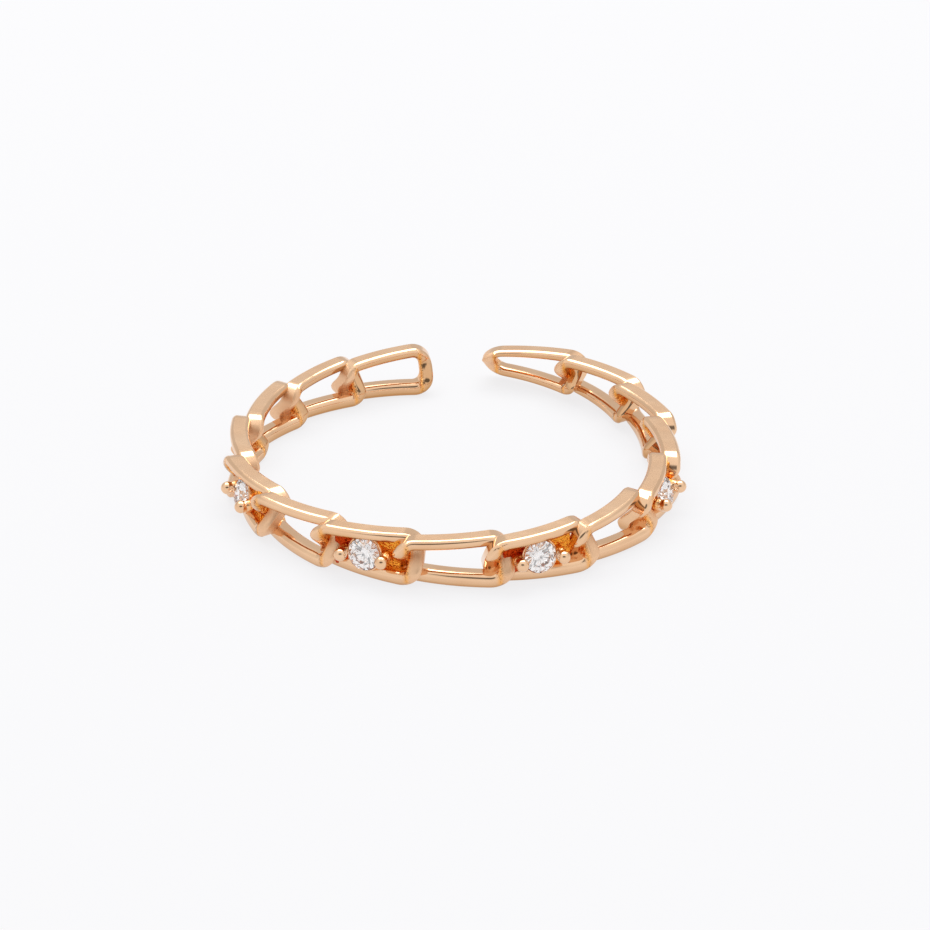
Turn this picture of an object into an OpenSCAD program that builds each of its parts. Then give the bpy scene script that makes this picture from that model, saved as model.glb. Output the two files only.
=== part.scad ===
// Adjustable open ring: a rigid casting of interlocking curb links with a flat top and underside,
// four of them set with a round brilliant-cut stone between two bead prongs.
// Millimetres. The ring lies flat: Z is its axis, z = 0 its underside, the opening faces +Y
// and the middle link faces -Y. Links are counted from the free end at the left of the opening.

/* [Ring] */
// Inside diameter of the band, where the wire comes nearest to the finger
finger_d = 17.15; // [16:0.05:19]
// Height of the band between its two flat faces
band_h = 2.2; // [2.1:0.02:2.4]
// Number of links, always odd so that one is in the middle
link_count = 15; // [13:2:17]
// Width of the opening between the two free ends
end_gap = 2.4; // [1.5:0.1:4]
// How far the left free end is sprung towards the middle
left_end_in = 0.39; // [0:0.03:0.6]
// How far the right free end is sprung outwards
right_end_out = 0.39; // [0:0.03:0.9]
// How far the hand-bent band swells and flattens in three lobes
out_of_round = 0.12; // [0:0.02:0.16]

/* [Links] */
// Width of a link's wire across the band
wire_w = 0.86; // [0.8:0.02:0.92]
// Thickness of a link's wire at its ends and its lower side
wire_t = 0.63; // [0.58:0.01:0.64]
// How much thinner the upper side is
top_thinner = 0.15; // [0.08:0.01:0.2]
// Rounding of the wire's edges
edge_r = 0.27; // [0.2:0.01:0.29]
// How far each corner of a link leans out of the middle of the band, or into it
lean = 0.39; // [0.34:0.01:0.42]
// How far neighbouring links reach into each other
link_overlap = 1.24; // [1.18:0.02:1.28]
// Outer radius of a link's upper corners
top_corner_r = 0.94; // [0.7:0.02:1]
// Outer radius of a link's lower left corner, which lies in the band
low_left_r = 0.8; // [0.7:0.02:1]
// Outer radius of a link's lower right corner, which stands out of the band
low_right_r = 1.02; // [0.8:0.02:1.04]
// Outer radius of the corners at the left free end
free_corner_r = 1.02; // [0.9:0.02:1.04]
// Share by which the top of the right free end comes down
top_pinch = 0.36; // [0:0.02:0.4]
// Share by which the underside rises towards the right free end
under_pinch = 0.28; // [0:0.02:0.32]

/* [Stones] */
// Diameter of a stone at its girdle
stone_d = 1.4; // [1.3:0.01:1.44]
// How far the girdle stands out from the middle of the band
stone_out = 0.5; // [0.45:0.01:0.6]
// How far the stone's centre lies above the middle of the band
stone_up = 0.1; // [0:0.01:0.12]
// How far the stone is tipped upwards, in degrees
stone_tilt = 12; // [0:1:14]
// Diameter of a bead prong
prong_d = 0.57; // [0.46:0.01:0.6]
// How far a prong stands proud of the girdle
prong_proud = 0.6; // [0.4:0.02:0.7]

/* [Hidden] */

ring_r = finger_d / 2 + lean + wire_w / 2;
mm_to_deg = 180 / (PI * ring_r);
pitch_len = (2 * PI * ring_r - end_gap - link_overlap) / link_count;
half_len = (pitch_len + link_overlap) / 2;
half_high = band_h / 2;
middle_link = (link_count + 1) / 2;

// Steps in each corner and in each long side, and how much of an edge's rounding its facet takes
corner_steps = 4;
side_steps = 3;
facet_share = 0.75;

// The lean is full beyond this share of the half height and turns over between
twist_share = 0.5;

// Angles from the front over which the free ends are sprung, and where one of the lobes is
spring_from = 90;
spring_over = 75;
lobes = 3;
lobe_at = 38;

// The underside rises over this many links before the last one ends
under_links = 2;

// The cut of a stone, with radii and heights as shares of its own
facets = 8;
girdle_t = 0.04;
crown_t = 0.21;
pavilion_t = 0.63;
table_share = 0.54;
star_share = 0.8;
star_height = 0.55;
culet_share = 0.04;
flat_t = 0.001;

// Every second link is set, as [places from the middle link, shift along the band]
settings = [[-3, 0], [-1, 0], [1, -0.2], [3, 0]];

// The setting, measured from the middle of the band, and its bezel from the stone's girdle
seat_gap = 0.03;
prong_reach = 0.93;
prong_round = 8;
neck_share = 0.86;
bezel_d = 1.58;
bezel_rim = -0.06;
bezel_foot = -0.8;
bezel_round = 20;
culet_hole_d = 0.7;
culet_hole_spare = 0.3;
plate_t = 0.36;
plate_half_len = 1.5;
plate_half_high = 0.85;
plate_back = -0.22;

function clamp(x, low, high) = min(max(x, low), high);
function link_angle(number) = (number - middle_link) * pitch_len * mm_to_deg;

// Outline of a link as [along, up, outwards along, outwards up], anticlockwise from its upper right
function corner(along, up, radius, start) = [
    for (k = [0 : corner_steps])
        let (t = start + 90 * k / corner_steps,
             centre = [along * (half_len - radius), up * (half_high - radius)])
        [centre[0] + radius * cos(t), centre[1] + radius * sin(t), cos(t), sin(t)]
];
function long_side(up, start, end) = [
    for (k = [1 : side_steps - 1])
        [start + (end - start) * k / side_steps, up * half_high, 0, up]
];
function outline(upper_left_r, lower_left_r) = concat(
    corner(1, 1, top_corner_r, 0),
    long_side(1, half_len - top_corner_r, upper_left_r - half_len),
    corner(-1, 1, upper_left_r, 90),
    corner(-1, -1, lower_left_r, 180),
    long_side(-1, lower_left_r - half_len, half_len - low_right_r),
    corner(1, -1, low_right_r, 270)
);

// The wire's section as [across, inwards], with a facet on each edge
facet = edge_r * facet_share;
section = [
    [wire_w / 2, facet], [wire_w / 2 - facet, 0],
    [facet - wire_w / 2, 0], [-wire_w / 2, facet],
    [-wire_w / 2, wire_t - facet], [facet - wire_w / 2, wire_t],
    [wire_w / 2 - facet, wire_t], [wire_w / 2, wire_t - facet]
];

// The lean of a link: its upper left and lower right stand out of the band, the other corners lie in it
function leaning(along, up) =
    -lean * along / half_len * sin(90 * clamp(up / (twist_share * half_high), -1, 1));

// A point of the wire as [along, up, out], with the upper side thinned from within
function wire_point(place, spot) =
    let (inwards = spot[1] * (1 - top_thinner / wire_t * pow(max(0, place[3]), 2)),
         along = place[0] - place[2] * inwards,
         up = place[1] - place[3] * inwards)
    [along, up, spot[0] + leaning(along, up)];

// Bend a point of a link round the ring, with its free ends sprung and the right one narrowed
function sprung(angle) =
    let (past = (abs(angle) - spring_from) / spring_over)
    past <= 0 ? 0 : (angle < 0 ? -left_end_in : right_end_out) * past * past;
function bent_r(angle) = ring_r + sprung(angle) + out_of_round * cos(lobes * (angle - lobe_at));
function pinched(number, along, up) =
    let (reach = number - link_count + (along / half_len + 1) / 2)
    up > 0 ? 1 - top_pinch * clamp(reach, 0, 1) : 1 - under_pinch * clamp(reach / under_links + 1, 0, 1);
function on_ring(p, number) =
    let (angle = link_angle(number) + p[0] * mm_to_deg,
         r = bent_r(angle) + p[2])
    [r * sin(angle), -r * cos(angle), half_high + p[1] * pinched(number, p[0], p[1])];

// One link as a closed tube of wire, with rounder corners at the left free end
module link(number) {
    places = number == 1 ? outline(free_corner_r, free_corner_r) : outline(top_corner_r, low_left_r);
    rings = len(places);
    sides = len(section);
    points = [for (place = places) for (spot = section) on_ring(wire_point(place, spot), number)];
    faces = [
        for (i = [0 : rings - 1]) for (j = [0 : sides - 1])
            let (a = i * sides + j, b = i * sides + (j + 1) % sides,
                 c = (i + 1) % rings * sides + (j + 1) % sides, d = (i + 1) % rings * sides + j)
            each [[a, c, b], [a, d, c]]
    ];
    polyhedron(points, faces);
}

// Place a setting on its link, with X along the band, Y up and Z out of the ring
module on_link(spot) {
    angle = link_angle(middle_link + spot[0]) + spot[1] * mm_to_deg;
    rotate([0, 0, angle])
        translate([0, -bent_r(angle), half_high])
            rotate([90, 0, 0])
                children();
}

// Place a stone or what holds it in a setting, from the middle of its girdle
module at_stone() {
    translate([0, stone_up, stone_out])
        rotate([-stone_tilt, 0, 0])
            children();
}

// Round brilliant: table, star, kite and girdle facets over a pointed pavilion
module stone() {
    r = stone_d / 2;
    at_stone()
        hull() {
            rotate([0, 0, 180 / facets])
                translate([0, 0, crown_t])
                    linear_extrude(flat_t)
                        circle(r * table_share, $fn = facets);
            translate([0, 0, crown_t * star_height])
                linear_extrude(flat_t)
                    circle(r * star_share, $fn = facets);
            translate([0, 0, -girdle_t / 2])
                linear_extrude(girdle_t)
                    circle(r, $fn = 2 * facets);
            translate([0, 0, -pavilion_t])
                linear_extrude(flat_t)
                    circle(r * culet_share, $fn = facets);
        }
}

// Room for the stone in its setting, clear of every facet
module pocket() {
    r = stone_d / 2 + seat_gap;
    at_stone()
        rotate_extrude($fn = bezel_round)
            polygon([
                [0, -pavilion_t - 2 * seat_gap], [r, -girdle_t], [r, girdle_t],
                [stone_d / 2 * star_share + 2 * seat_gap, crown_t * star_height + seat_gap],
                [stone_d / 2 * table_share + seat_gap, crown_t + seat_gap], [0, crown_t + seat_gap]
            ]);
}

// A prong rises from the plate behind the stone and ends in a round bead beside it
module prong(side) {
    hull() {
        translate([side * prong_reach, stone_up / 2, stone_out + prong_proud - prong_d / 2])
            sphere(d = prong_d, $fn = prong_round);
        translate([side * prong_reach, stone_up / 2, plate_back])
            cylinder(d = prong_d * neck_share, h = plate_t, $fn = prong_round);
    }
}

// Plate across the link, bezel under the stone and two prongs, opened behind for light
module setting() {
    difference() {
        union() {
            translate([-plate_half_len, -plate_half_high, plate_back])
                cube([2 * plate_half_len, 2 * plate_half_high, plate_t]);
            at_stone()
                translate([0, 0, bezel_foot])
                    cylinder(d = bezel_d, h = bezel_rim - bezel_foot, $fn = bezel_round);
            prong(-1);
            prong(1);
        }
        at_stone()
            translate([0, 0, bezel_foot - culet_hole_spare])
                cylinder(d = culet_hole_d, h = -bezel_foot, $fn = prong_round);
    }
}

module link_band() {
    color("goldenrod")
        difference() {
            union() {
                for (number = [1 : link_count])
                    link(number);
                for (spot = settings)
                    on_link(spot)
                        setting();
            }
            for (spot = settings)
                on_link(spot)
                    pocket();
        }
}

module set_stone(spot) {
    color("lightcyan")
        on_link(spot)
            stone();
}

module stone_left() {
    set_stone(settings[0]);
}

module stone_front_left() {
    set_stone(settings[1]);
}

module stone_front_right() {
    set_stone(settings[2]);
}

module stone_right() {
    set_stone(settings[3]);
}

link_band();
stone_left();
stone_front_left();
stone_front_right();
stone_right();
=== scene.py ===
from math import acos, cos, degrees, pi, radians, sin

import bmesh
import bpy
from mathutils import Matrix, Vector


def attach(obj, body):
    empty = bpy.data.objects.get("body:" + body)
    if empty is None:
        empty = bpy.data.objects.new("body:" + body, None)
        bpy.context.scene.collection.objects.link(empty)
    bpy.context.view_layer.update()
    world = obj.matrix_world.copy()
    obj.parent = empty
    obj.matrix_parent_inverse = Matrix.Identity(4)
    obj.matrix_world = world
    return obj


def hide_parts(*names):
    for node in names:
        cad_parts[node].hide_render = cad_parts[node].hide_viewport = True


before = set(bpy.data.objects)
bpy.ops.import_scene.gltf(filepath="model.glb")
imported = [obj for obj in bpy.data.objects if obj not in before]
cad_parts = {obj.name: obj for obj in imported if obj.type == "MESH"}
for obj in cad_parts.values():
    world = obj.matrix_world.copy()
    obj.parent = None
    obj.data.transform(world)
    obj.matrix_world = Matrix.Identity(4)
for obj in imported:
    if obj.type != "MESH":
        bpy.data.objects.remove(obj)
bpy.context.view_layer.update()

mm = 0.001  # every piece is worked out in millimetres and scaled once, when it is finished
weldWithin = 0.001  # points nearer than this, in millimetres, become one
print("frame loaded:", len(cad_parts), "solids")

# the ring lies flat on z = 0 with its opening at the back
# links are counted from the free end at the left of the opening
ring = {
    "fingerAcross": 17.15,
    "bandHigh": 2.2,
    "links": 15,
    "opening": 2.4,
    "leftEndIn": 0.39,
    "rightEndOut": 0.376,  # a hair less than the solid's, which keeps the rounder wire inside its box
    "springFrom": 90,  # degrees from the front, where the ends begin to spring in or out
    "springOver": 75,
    "outOfRound": 0.12,
    "lobes": 3,
    "lobeAt": 38,
}
link = {
    "wireWide": 0.86,
    "wireThick": 0.63,
    "topThinner": 0.15,
    "edgeRadius": 0.27,
    "rubbed": 0.02,  # how deep the outward side is rubbed flat
    "lean": 0.39,  # how far each corner stands out of the middle of the band, or lies in it
    "leanFullAt": 0.5,
    "overlap": 1.24,
    "topCorner": 0.94,
    "lowLeftCorner": 0.8,
    "lowRightCorner": 1.02,
    "freeCorner": 1.02,
    "topPinch": 0.36,  # shares by which the right free end narrows from above and from below
    "underPinch": 0.28,
    "underLinks": 2,
    "edgeSteps": 7,
    "flatSteps": 3,
    "cornerSteps": 12,
    "longSteps": 16,
    "shortSteps": 4,
    "crispAngle": 16,  # degrees from which an edge is sharp
    "lappedWithin": 0.001,
    "wallShare": 0.92,  # of the half height, where the satin finish and the painted shade of the end wires have faded out
    "wallFade": 0.2,
    "wallRecess": 0.38,
    "wallBlend": 0.14,
    "satinPast": 0.05,
    "underShadeFrom": 0.12,  # how far up a surface faces where the painted underside shade starts, and over how much it grows
    "underShadeOver": 0.75,
    "underShadeInside": 0.35,
}
middleRadius = (ring["fingerAcross"] + link["wireWide"]) / 2 + link["lean"]
degreesPerMm = 180 / (pi * middleRadius)
linkPitch = (2 * pi * middleRadius - ring["opening"] - link["overlap"]) / ring["links"]
halfLong = (linkPitch + link["overlap"]) / 2
halfHigh = ring["bandHigh"] / 2
middleLink = (ring["links"] + 1) / 2


def linkAngle(number):
    return (number - middleLink) * linkPitch * degreesPerMm


def asShare(value):
    return max(0, min(1, value))


def finishPiece(name, bm, material, smooth=True):
    # scales from millimetres, hands the mesh over and dresses it in one material
    bmesh.ops.scale(bm, vec=(mm, mm, mm), verts=bm.verts)
    mesh = bpy.data.meshes.new(name)
    bm.to_mesh(mesh)
    bm.free()
    mesh.polygons.foreach_set("use_smooth", [smooth] * len(mesh.polygons))
    mesh.materials.append(material)
    piece = bpy.data.objects.new(name, mesh)
    bpy.context.scene.collection.objects.link(piece)
    return piece


# Materials, put together by a few helpers that add one node each
def newMaterial(name):
    material = bpy.data.materials.new(name)
    material.use_nodes = True
    tree = material.node_tree
    return material, tree, tree.nodes["Principled BSDF"]


def addNode(tree, kind, inputs=None, **options):
    # options come first, as they decide which inputs there are; an input takes a value or an output
    node = tree.nodes.new("ShaderNode" + kind)
    for name, value in options.items():
        setattr(node, name, value)
    for name, value in (inputs or {}).items():
        if isinstance(value, bpy.types.NodeSocket):
            tree.links.new(value, node.inputs[name])
        else:
            node.inputs[name].default_value = value
    return node


def addLayer(tree, name):
    return addNode(tree, "Attribute", attribute_name=name).outputs["Fac"]


def addNoise(tree, vector, size, detail):
    inputs = {"Vector": vector, "Scale": 1 / (size * mm), "Detail": detail}
    return addNode(tree, "TexNoise", inputs).outputs["Fac"]


def addMix(tree, share, first, second, kind="FLOAT"):
    inputs = {"Factor": share, "A": first, "B": second}
    return addNode(tree, "Mix", inputs, data_type=kind).outputs["Result"]


def addRange(tree, value, start=(0, 1), finish=(0, 1), ease="LINEAR"):
    inputs = {"Value": value, "From Min": start[0], "From Max": start[1]}
    inputs.update({"To Min": finish[0], "To Max": finish[1]})
    return addNode(tree, "MapRange", inputs, interpolation_type=ease).outputs["Result"]


def addRamp(tree, value, *stops):
    ramp = addNode(tree, "ValToRGB", {"Fac": value})
    for element, (position, colour) in zip(ramp.color_ramp.elements, stops):
        element.position = position
        element.color = colour
    return ramp.outputs["Color"]


def addBump(tree, height, depth, strength=1, over=None):
    # over is the bump that this one lies on
    inputs = {"Height": height, "Distance": depth * mm, "Strength": strength}
    if over is not None:
        inputs["Normal"] = over
    return addNode(tree, "Bump", inputs).outputs["Normal"]


# what each point of the band carries, from 0 to 1: lapped on the flat faces, satin on a link's right end,
# recess down the hollows, rough and pitted under a painted warm shade, and a painted shade on the faces
# turned down or inward
finishAndShadeLayers = ("lapped", "satin", "recess", "underShade")

goldLook = {
    "paleColour": (0.88, 0.59, 0.375, 1),
    "deepColour": (0.84, 0.535, 0.325, 1),
    # the painted shade on faces turned down or into the ring
    "underShadeColour": (0.56, 0.28, 0.10, 1),
    "cloudSize": 1.6,
    "cloudEdges": (0.35, 0.65),
    "polishRough": (0.07, 0.15),
    "lappedRough": (0.23, 0.30),
    "satinRough": 0.5,
    "grainSize": 0.06,
    "hairlineSize": 0.5,
    "hairlineStretch": 14,
    "hairlineTurn": 35,
    "scratchHeight": 0.0012,
    "scratchStrength": 0.5,
    # painted shade and warm bounce light in the hollows, from orange to a dark red where deepest
    "recessShadeColour": (1.0, 0.42, 0.05, 1),
    "deepestShadeColour": (0.5, 0.012, 0.001, 1),
    "deepestShadeFrom": 0.7,
    "recessRough": 0.24,
    "castAndShadeFullAt": 0.5,
    "waveSize": 0.8,
    "waveHeight": 0.02,
    "castSize": 0.13,
    "castHeight": 0.16,
}


def roseGoldPlate():
    look = goldLook
    material, tree, shader = newMaterial("roseGoldPlate")
    shader.inputs["Metallic"].default_value = 1
    place = addNode(tree, "TexCoord").outputs["Object"]
    lapped, satin, recess, underShade = (addLayer(tree, name) for name in finishAndShadeLayers)
    castSkinAndShade = addRange(tree, recess, start=(0, look["castAndShadeFullAt"]))  # where the skin of the casting is left, rough and pitted, and where the hollows get a painted shade

    cloud = addNoise(tree, place, look["cloudSize"], detail=3)  # slow drift of the plating's colour
    deepAt, paleAt = look["cloudEdges"]
    colour = addRamp(tree, cloud, (deepAt, look["deepColour"]), (paleAt, look["paleColour"]))
    # painted shade: faces turned down or into the ring are mixed towards a darker, deeper colour
    colour = addMix(tree, underShade, colour, look["underShadeColour"], "RGBA")
    # painted shade and warm bounce light in the hollows: orange, turning dark red where deepest
    orange, red = (look["deepestShadeFrom"], look["recessShadeColour"]), (1, look["deepestShadeColour"])
    hollowShade = addRamp(tree, recess, orange, red)
    colour = addMix(tree, castSkinAndShade, colour, hollowShade, "RGBA")
    tree.links.new(colour, shader.inputs["Base Color"])

    grain = addNoise(tree, place, look["grainSize"], detail=4)  # fine polishing grain
    polishRough = addRange(tree, cloud, finish=look["polishRough"])
    lappedRough = addRange(tree, grain, finish=look["lappedRough"])
    rough = addMix(tree, lapped, polishRough, lappedRough)
    rough = addMix(tree, satin, rough, look["satinRough"])
    rough = addMix(tree, castSkinAndShade, rough, look["recessRough"])
    tree.links.new(rough, shader.inputs["Roughness"])

    turn = (0, 0, radians(look["hairlineTurn"]))
    stretch = (1, look["hairlineStretch"], 1)
    combed = addNode(tree, "Mapping", {"Vector": place, "Rotation": turn, "Scale": stretch})
    strands = combed.outputs["Vector"]
    hairlines = addNoise(tree, strands, look["hairlineSize"], detail=5)  # left by lapping the flat faces
    marks = addMix(tree, lapped, grain, hairlines)
    normal = addBump(tree, marks, look["scratchHeight"], look["scratchStrength"])
    wave = addNoise(tree, place, look["waveSize"], detail=1)  # the soft unevenness of hand polishing
    normal = addBump(tree, wave, look["waveHeight"], over=normal)
    skin = addNoise(tree, place, look["castSize"], detail=2)  # the pitted skin of the casting
    pits = addNode(tree, "Math", {0: skin, 1: castSkinAndShade}, operation="MULTIPLY").outputs["Value"]
    normal = addBump(tree, pits, look["castHeight"], over=normal)
    tree.links.new(normal, shader.inputs["Normal"])
    return material


stoneLook = {
    "colour": (1.0, 0.975, 0.965, 1),
    "faintColour": (0.97, 0.945, 0.94, 1),
    "ior": 2.42,
    "rough": (0.02, 0.05),
    "dustSize": 0.25,
    "dustEdges": (0.45, 0.8),
}


def clearStone():
    look = stoneLook
    material, tree, shader = newMaterial("clearStone")
    shader.inputs["IOR"].default_value = look["ior"]
    shader.inputs["Transmission Weight"].default_value = 1
    place = addNode(tree, "TexCoord").outputs["Object"]
    dust = addNoise(tree, place, look["dustSize"], detail=4)
    colour = addRamp(tree, dust, (0, look["faintColour"]), (1, look["colour"]))
    tree.links.new(colour, shader.inputs["Base Color"])
    haze = addRange(tree, dust, look["dustEdges"], look["rough"])
    tree.links.new(haze, shader.inputs["Roughness"])
    return material


goldPlate = roseGoldPlate()
stoneGlass = clearStone()
print("materials made")


# The band of links
def wireSection():
    # (across, inward) points round a soft oblong, its outward side rubbed flat between two crisp edges
    edge, rubbed = link["edgeRadius"], link["rubbed"]
    crisp = degrees(acos(1 - rubbed / edge))
    right, deep = link["wireWide"] / 2 - edge, link["wireThick"] - edge
    corners = [(right, edge - rubbed, 0, 90 - crisp), (-right, edge - rubbed, 90 + crisp, 180),
               (-right, deep, 180, 270), (right, deep, 270, 360)]
    points = []
    for number, (across, inward, start, finish) in enumerate(corners):
        for step in range(link["edgeSteps"] + 1):
            turn = radians(start + (finish - start) * step / link["edgeSteps"])
            points.append(Vector((across + edge * cos(turn), inward - edge * sin(turn))))
        if number % 2 == 0:  # the outward and the inward side
            reach, level = points[-1]
            for step in range(1, link["flatSteps"]):
                points.append(Vector((reach * (1 - 2 * step / link["flatSteps"]), level)))
    return points


def sweepFlatLink(topLeft, lowLeft):
    # one link lying flat: its section spun round four corners and drawn along four straight sides
    bm = bmesh.new()
    top, low = link["topCorner"], link["lowRightCorner"]
    start = []
    for across, inward in wireSection():
        start.append(bm.verts.new((halfLong - inward, halfHigh - top, across)))
    end = start + [bm.edges.new((start[k - 1], start[k])) for k in range(len(start))]
    far, high = link["longSteps"], link["shortSteps"]
    sides = [
        ((halfLong - top, halfHigh - top), (top + topLeft - 2 * halfLong, 0), far),
        ((topLeft - halfLong, halfHigh - topLeft), (0, topLeft + lowLeft - 2 * halfHigh), high),
        ((lowLeft - halfLong, lowLeft - halfHigh), (2 * halfLong - low - lowLeft, 0), far),
        ((halfLong - low, low - halfHigh), (0, 2 * halfHigh - top - low), high),
    ]
    for centre, run, steps in sides:
        end = bmesh.ops.spin(bm, geom=end, cent=(*centre, 0), axis=(0, 0, 1), angle=pi / 2,
                             steps=link["cornerSteps"])["geom_last"]
        end = bmesh.ops.spin(bm, geom=end, cent=(0, 0, 0), axis=(0, 0, 1), angle=0,
                             dvec=(run[0] / steps, run[1] / steps, 0), steps=steps)["geom_last"]
    bmesh.ops.remove_doubles(bm, verts=bm.verts, dist=weldWithin)
    bmesh.ops.recalc_face_normals(bm, faces=bm.faces)
    for v in bm.verts:
        v.co = thinTop(v.co, topLeft if v.co.x < 0 else top)
    bm.normal_update()
    return bm


def thinTop(flat, radius):
    # draws the inward side of a flat link's top bar up, as that bar is thinner than the rest
    core = Vector((max(radius - halfLong, min(halfLong - radius, flat.x)), halfHigh - radius))
    edge = Vector((flat.x, flat.y)) - core
    if edge.y <= 0:
        return flat
    inward = radius - edge.length
    edge.normalize()
    thick = 1 - link["topThinner"] / link["wireThick"] * edge.y ** 2
    spot = core + edge * (radius - inward * thick)
    return Vector((spot.x, spot.y, flat.z))


def leanLink(point):
    # the upper bar leans one way along its length and the lower bar the other, and the ends turn between
    turned = max(-1, min(1, point.y / (link["leanFullAt"] * halfHigh)))
    lean = link["lean"] * point.x / halfLong * sin(pi / 2 * turned)
    return Vector((point.x, point.y, point.z - lean))


def bentRadius(angle):
    # the radius of the band's middle: soft lobes, with the free ends sprung in and out
    past = max(0, abs(angle) - ring["springFrom"]) / ring["springOver"]
    sprung = (-ring["leftEndIn"] if angle < 0 else ring["rightEndOut"]) * past * past
    lobe = cos(radians(ring["lobes"] * (angle - ring["lobeAt"])))
    return middleRadius + sprung + ring["outOfRound"] * lobe


def bendRound(point, number):
    # wraps a leaned point round the ring and narrows the band towards the right free end
    angle = linkAngle(number) + point.x * degreesPerMm
    radius = bentRadius(angle) + point.z
    reach = number - ring["links"] + (point.x / halfLong + 1) / 2
    if point.y > 0:
        height = point.y * (1 - link["topPinch"] * asShare(reach))
    else:
        height = point.y * (1 - link["underPinch"] * asShare(reach / link["underLinks"] + 1))
    return Vector((radius * sin(radians(angle)), -radius * cos(radians(angle)), halfHigh + height))


def makeLink(number):
    # the link at the left free end has rounder corners on its left than the others
    left = ("freeCorner", "freeCorner") if number == 1 else ("topCorner", "lowLeftCorner")
    bm = sweepFlatLink(*(link[corner] for corner in left))
    lapped, satin, recess, underShade = (bm.verts.layers.float.new(name) for name in finishAndShadeLayers)
    wall = halfLong - link["wireThick"]  # the window's side of the two end wires
    for v in bm.verts:
        along, up = v.co.x, abs(v.co.y)
        between = asShare((link["wallShare"] * halfHigh - up) / link["wallFade"])
        v[lapped] = 1.0 if up > halfHigh - link["lappedWithin"] else 0.0
        v[satin] = between if along > wall + link["satinPast"] else 0.0
        # painted shade down the window's side of the end wires
        v[recess] = link["wallRecess"] * between * max(0, 1 - abs(abs(along) - wall) / link["wallBlend"])
        # painted shade, growing as a face turns down or into the ring, and fading on the satin ends
        under = (link["underShadeFrom"] - v.normal.y) / link["underShadeOver"]
        inside = link["underShadeInside"] * max(0, -v.normal.z)
        v[underShade] = asShare(under + inside) * (1 - v[satin])
        v.co = bendRound(leanLink(v.co), number)
    for edge in bm.edges:
        edge.smooth = edge.calc_face_angle(0) < radians(link["crispAngle"])
    return bm


# The stones and their settings, modelled with X along the band, Y up and Z out of the ring
stone = {
    "places": {  # the link that each sits on, and how far it is shifted along the band
        "stone_left": (5, 0),
        "stone_front_left": (7, 0),
        "stone_front_right": (9, -0.2),
        "stone_right": (11, 0),
    },
    "across": 1.4,
    "out": 0.5,
    "up": 0.1,
    "tilt": 12,
    "facets": 8,
    "crown": 0.21,
    "pavilion": 0.63,
    "girdle": 0.04,
    "tableShare": 0.54,
    "starShare": 0.78,
    "culetShare": 0.03,
    "flatWithin": 0.5,  # degrees between faces that are one facet
}
setting = {
    "prongAcross": 0.57,
    "prongProud": 0.6,
    "prongReach": 0.93,
    "prongRecess": 0.62,
    "beadStep": 15,
    "beadTo": 120,
    "neckShare": 0.86,
    "neckWaist": [(0.98, 0.75), (1, 1.2)],  # (share of the neck, bead radii below the bead's middle)
    "neckFlare": 1.05,
    "bezelAcross": 1.58,
    "bezelRim": -0.06,
    "bezelFoot": -0.8,
    "bezelSoft": 0.04,
    "bezelLip": [(0, 1), (0.3, 0.3), (1, 0), (1.7, 0.4)],  # (in, down) from the rim's edge, of bezelSoft
    "bezelRecess": 0.4,
    "seat": -0.5,
    "holeAcross": 0.7,
    "plateFrom": 0.5,
    "plateTo": 1.5,
    "plateHigh": 1.7,
    "plateThick": 0.36,
    "plateBack": -0.22,
    "plateSoft": 0.06,
    "plateSoftSteps": 3,
    "plateRecess": (0.72, 0.56),  # left and right of the stone
    "backShare": 1.1,  # of the plate's rounding, which is polished on the finger's side
    "recessDeep": 0.6,
    "turnSteps": 28,
}


def onLink(number, shift):
    angle = linkAngle(number) + shift * degreesPerMm
    return (Matrix.Rotation(radians(angle), 4, "Z")
            @ Matrix.Translation((0, -bentRadius(angle), halfHigh))
            @ Matrix.Rotation(radians(90), 4, "X"))


def atStone():
    return (Matrix.Translation((0, stone["up"], stone["out"]))
            @ Matrix.Rotation(radians(-stone["tilt"]), 4, "X"))


def facetRing(bm, radius, height, count, turn):
    level = Matrix.Translation((0, 0, height)) @ Matrix.Rotation(radians(turn), 4, "Z")
    bmesh.ops.create_circle(bm, segments=count, radius=radius, matrix=level)


def makeStone(place):
    # round brilliant: table, stars, kites, girdle and a pointed pavilion, from the hull of five rings
    bm = bmesh.new()
    facets = stone["facets"]
    between = 180 / facets
    share = cos(radians(between))
    radius = stone["across"] / 2
    half = stone["girdle"] / 2
    crownDrop = (1 - stone["starShare"] * share) / (1 - stone["tableShare"])
    starHeight = half + (stone["crown"] - half) * crownDrop
    facetRing(bm, radius * stone["tableShare"], stone["crown"], facets, 0)
    facetRing(bm, radius * stone["starShare"], starHeight, facets, between)
    facetRing(bm, radius, half, 2 * facets, 0)
    facetRing(bm, radius, -half, 2 * facets, 0)
    facetRing(bm, radius * stone["culetShare"], -stone["pavilion"], facets, 0)
    hull = bmesh.ops.convex_hull(bm, input=bm.verts)
    inside = [v for v in hull["geom_interior"] if isinstance(v, bmesh.types.BMVert)]
    bmesh.ops.delete(bm, geom=inside, context="VERTS")
    bmesh.ops.dissolve_limit(bm, angle_limit=radians(stone["flatWithin"]), verts=bm.verts, edges=bm.edges)
    bmesh.ops.recalc_face_normals(bm, faces=bm.faces)
    bmesh.ops.transform(bm, matrix=onLink(*place) @ atStone(), verts=bm.verts)
    return bm


def turned(outline, spot):
    # a closed outline of (radius, height) points turned round an axis along Z
    bm = bmesh.new()
    corners = [bm.verts.new((radius, 0, height)) for radius, height in outline]
    edges = [bm.edges.new((corners[k], corners[(k + 1) % len(corners)])) for k in range(len(corners))]
    bmesh.ops.spin(bm, geom=corners + edges, cent=(0, 0, 0), axis=(0, 0, 1), angle=2 * pi,
                   steps=setting["turnSteps"], use_merge=True)
    bmesh.ops.remove_doubles(bm, verts=bm.verts, dist=weldWithin)
    bmesh.ops.recalc_face_normals(bm, faces=bm.faces)
    bmesh.ops.translate(bm, vec=spot, verts=bm.verts)
    return bm


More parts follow.
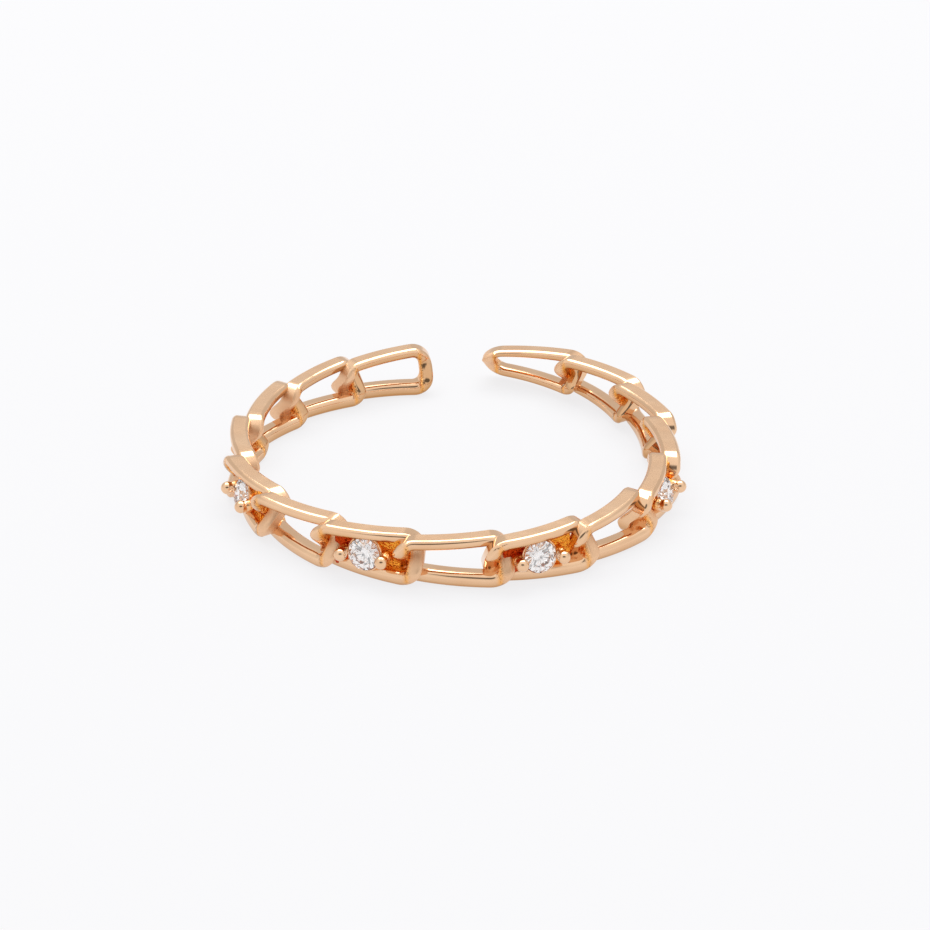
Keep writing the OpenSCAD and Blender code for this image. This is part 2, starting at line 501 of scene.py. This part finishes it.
def addTo(whole, part):
    mesh = bpy.data.meshes.new("part")
    part.to_mesh(mesh)
    part.free()
    whole.from_mesh(mesh)
    bpy.data.meshes.remove(mesh)


def markRecess(part, polishedAbove):
    # below that height the hollow grows unpolished, and a painted shade deepens its colour, but not on
    # the finger's side
    recess = part.verts.layers.float.new("recess")
    fingerSide = setting["plateBack"] + setting["backShare"] * setting["plateSoft"]
    for v in part.verts:
        if v.co.z > fingerSide:
            v[recess] = asShare((polishedAbove - v.co.z) / setting["recessDeep"])
    return part


def makePlate(side):
    # the wall that closes the link on one side of the stone
    plate = bmesh.new()
    bmesh.ops.create_cube(plate, size=1)
    size = (setting["plateTo"] - setting["plateFrom"], setting["plateHigh"], setting["plateThick"])
    bmesh.ops.scale(plate, vec=size, verts=plate.verts)
    bmesh.ops.bevel(plate, geom=plate.edges[:], offset=setting["plateSoft"], offset_type="OFFSET",
                    segments=setting["plateSoftSteps"], profile=0.5, affect="EDGES", material=-1)
    across = side * (setting["plateFrom"] + setting["plateTo"]) / 2
    out = setting["plateBack"] + setting["plateThick"] / 2
    bmesh.ops.translate(plate, vec=(across, 0, out), verts=plate.verts)
    return plate


def makeBezel():
    hole, outer, soft = setting["holeAcross"] / 2, setting["bezelAcross"] / 2, setting["bezelSoft"]
    outline = [(hole, setting["bezelFoot"]), (outer, setting["bezelFoot"])]
    for inward, down in setting["bezelLip"]:
        outline.append((outer - soft * inward, setting["bezelRim"] - soft * down))
    outline.append((hole, setting["seat"]))
    bezel = turned(outline, (0, 0, 0))
    bmesh.ops.transform(bezel, matrix=atStone(), verts=bezel.verts)
    return bezel


def makeProng(side):
    # a round bead on a neck that widens towards its foot
    bead = setting["prongAcross"] / 2
    neck = bead * setting["neckShare"]
    top = stone["out"] + setting["prongProud"]
    middle = top - bead
    outline = [(0, top)]
    for turn in range(setting["beadStep"], setting["beadTo"] + 1, setting["beadStep"]):
        outline.append((bead * sin(radians(turn)), middle + bead * cos(radians(turn))))
    for share, down in setting["neckWaist"]:
        outline.append((neck * share, middle - bead * down))
    outline += [(neck * setting["neckFlare"], 0), (0, 0)]
    return turned(outline, (side * setting["prongReach"], stone["up"] / 2, 0))


def makeSetting():
    whole = bmesh.new()
    whole.verts.layers.float.new("recess")
    for side, polishedAbove in zip((-1, 1), setting["plateRecess"]):
        addTo(whole, markRecess(makePlate(side), polishedAbove))
    addTo(whole, markRecess(makeBezel(), setting["bezelRecess"]))
    for side in (-1, 1):
        addTo(whole, markRecess(makeProng(side), setting["prongRecess"]))
    return whole


def makeBand():
    band = bmesh.new()
    for layer in finishAndShadeLayers:
        band.verts.layers.float.new(layer)
    for number in range(1, ring["links"] + 1):
        addTo(band, makeLink(number))
    print("links:", len(band.faces), "faces")
    for place in stone["places"].values():
        one = makeSetting()
        bmesh.ops.transform(one, matrix=onLink(*place), verts=one.verts)
        addTo(band, one)
    return finishPiece("linkBand", band, goldPlate)


linkBand = makeBand()
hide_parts("link_band")
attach(linkBand, "root")
print("band made:", len(linkBand.data.polygons), "faces")

for name, place in stone["places"].items():
    gem = finishPiece(name + "_cut", makeStone(place), stoneGlass, smooth=False)
    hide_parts(name)
    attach(gem, "root")
print("stones made")

# Floor, light and camera
studio = {
    "floorColour": (0.12, 0.119, 0.12, 1),
    "floorGlow": (0.79, 0.79, 0.803, 1),
    "floorRough": 0.9,
    "floorSize": 3000,  # in millimetres
    "floorDrop": 0.02,
    "horizon": 0.92,
    "behind": 0.70,
    "behindBetween": (-0.3, 0.6),  # from the front, -1, to the back, 1
    "overhead": 1.0,
    "overheadBetween": (31, 42),  # degrees above the horizon
    "darkSide": 0.17,
    "darkHeight": 36,
    "darkWidth": 0.5,
    "darkBetween": (19, 10),  # degrees from its middle, where it starts and is full
    "softboxSize": (0.42, 0.26),  # in metres, as its place is
    "softboxHeight": 0.36,
    "softboxBack": 0.17,
    "softboxWatts": 1.25,
    "bounces": 20,
    "glossyBounces": 14,
    "clearBounces": 16,
}


def makeFloor():
    bm = bmesh.new()
    bmesh.ops.create_grid(bm, x_segments=2, y_segments=2, size=studio["floorSize"] / 2)
    bmesh.ops.translate(bm, vec=(0, 0, -studio["floorDrop"]), verts=bm.verts)
    material, tree, shader = newMaterial("palePaper")
    shader.inputs["Base Color"].default_value = studio["floorColour"]
    shader.inputs["Roughness"].default_value = studio["floorRough"]
    shader.inputs["Specular IOR Level"].default_value = 0
    shader.inputs["Emission Color"].default_value = studio["floorGlow"]
    shader.inputs["Emission Strength"].default_value = 1  # a light table, which keeps shadows faint
    floor = finishPiece("paleFloor", bm, material, smooth=False)


def makeWorld():
    # brighter in front and overhead than behind the ring, with one dark patch up in front
    world = bpy.data.worlds.new("studioAir")
    bpy.context.scene.world = world
    world.use_nodes = True
    tree = world.node_tree
    backdrop = tree.nodes["Background"]
    backdrop.inputs["Color"].default_value = (1, 1, 1, 1)
    place = addNode(tree, "TexCoord").outputs["Generated"]
    split = addNode(tree, "SeparateXYZ", {"Vector": place})
    shades = (studio["horizon"], studio["behind"])
    around = addRange(tree, split.outputs["Y"], studio["behindBetween"], shades, "SMOOTHSTEP")
    heights = [sin(radians(angle)) for angle in studio["overheadBetween"]]
    above = addRange(tree, split.outputs["Z"], heights, ease="SMOOTHSTEP")
    sky = addMix(tree, above, around, studio["overhead"])

    wide = {0: place, 1: (studio["darkWidth"], 1, 1)}
    squeezed = addNode(tree, "VectorMath", wide, operation="MULTIPLY").outputs["Vector"]
    level = addNode(tree, "VectorMath", {0: squeezed}, operation="NORMALIZE").outputs["Vector"]
    high = radians(studio["darkHeight"])
    towards = {0: level, 1: (0, -cos(high), sin(high))}
    facing = addNode(tree, "VectorMath", towards, operation="DOT_PRODUCT").outputs["Value"]
    edges = [cos(radians(angle)) for angle in studio["darkBetween"]]
    dark = addRange(tree, facing, edges, ease="SMOOTHSTEP")
    bright = addMix(tree, dark, sky, studio["darkSide"])
    tree.links.new(bright, backdrop.inputs["Strength"])


def makeSoftbox():
    light = bpy.data.lights.new("softbox", "AREA")
    light.shape = "RECTANGLE"
    light.size, light.size_y = studio["softboxSize"]
    light.energy = studio["softboxWatts"]
    box = bpy.data.objects.new("softbox", light)
    box.location = (0, studio["softboxBack"], studio["softboxHeight"])
    bpy.context.scene.collection.objects.link(box)


view = {
    "elevation": 27.804,
    "turn": 0.374,
    "roll": -0.323,
    "distance": 132.482,
    "across": 0.442,
    "up": -0.378,
    "height": 1.05,
    "lens": 115.57,
    "sensor": 36,
    "clip": (0.01, 20),
}


def makeCamera():
    lens = bpy.data.cameras.new("camera")
    lens.lens = view["lens"]
    lens.sensor_width = view["sensor"]
    lens.clip_start, lens.clip_end = view["clip"]
    camera = bpy.data.objects.new("camera", lens)
    high, turn, roll = (radians(view[key]) for key in ("elevation", "turn", "roll"))
    back = Vector((sin(turn) * cos(high), -cos(turn) * cos(high), sin(high)))
    right = Vector((cos(turn), sin(turn), 0))
    up = back.cross(right)
    aim = Vector((0, 0, view["height"])) + right * view["across"] + up * view["up"]
    rolledRight = right * cos(roll) + up * sin(roll)
    rolledUp = up * cos(roll) - right * sin(roll)
    pose = Matrix((rolledRight, rolledUp, back)).transposed().to_4x4()
    pose.translation = (aim + back * view["distance"]) * mm
    camera.matrix_world = pose
    bpy.context.scene.collection.objects.link(camera)
    bpy.context.scene.camera = camera


makeFloor()
makeWorld()
makeSoftbox()
makeCamera()
bpy.context.scene.view_settings.view_transform = "Standard"
bpy.context.scene.cycles.max_bounces = studio["bounces"]
bpy.context.scene.cycles.glossy_bounces = studio["glossyBounces"]
bpy.context.scene.cycles.transmission_bounces = studio["clearBounces"]
print("studio made")
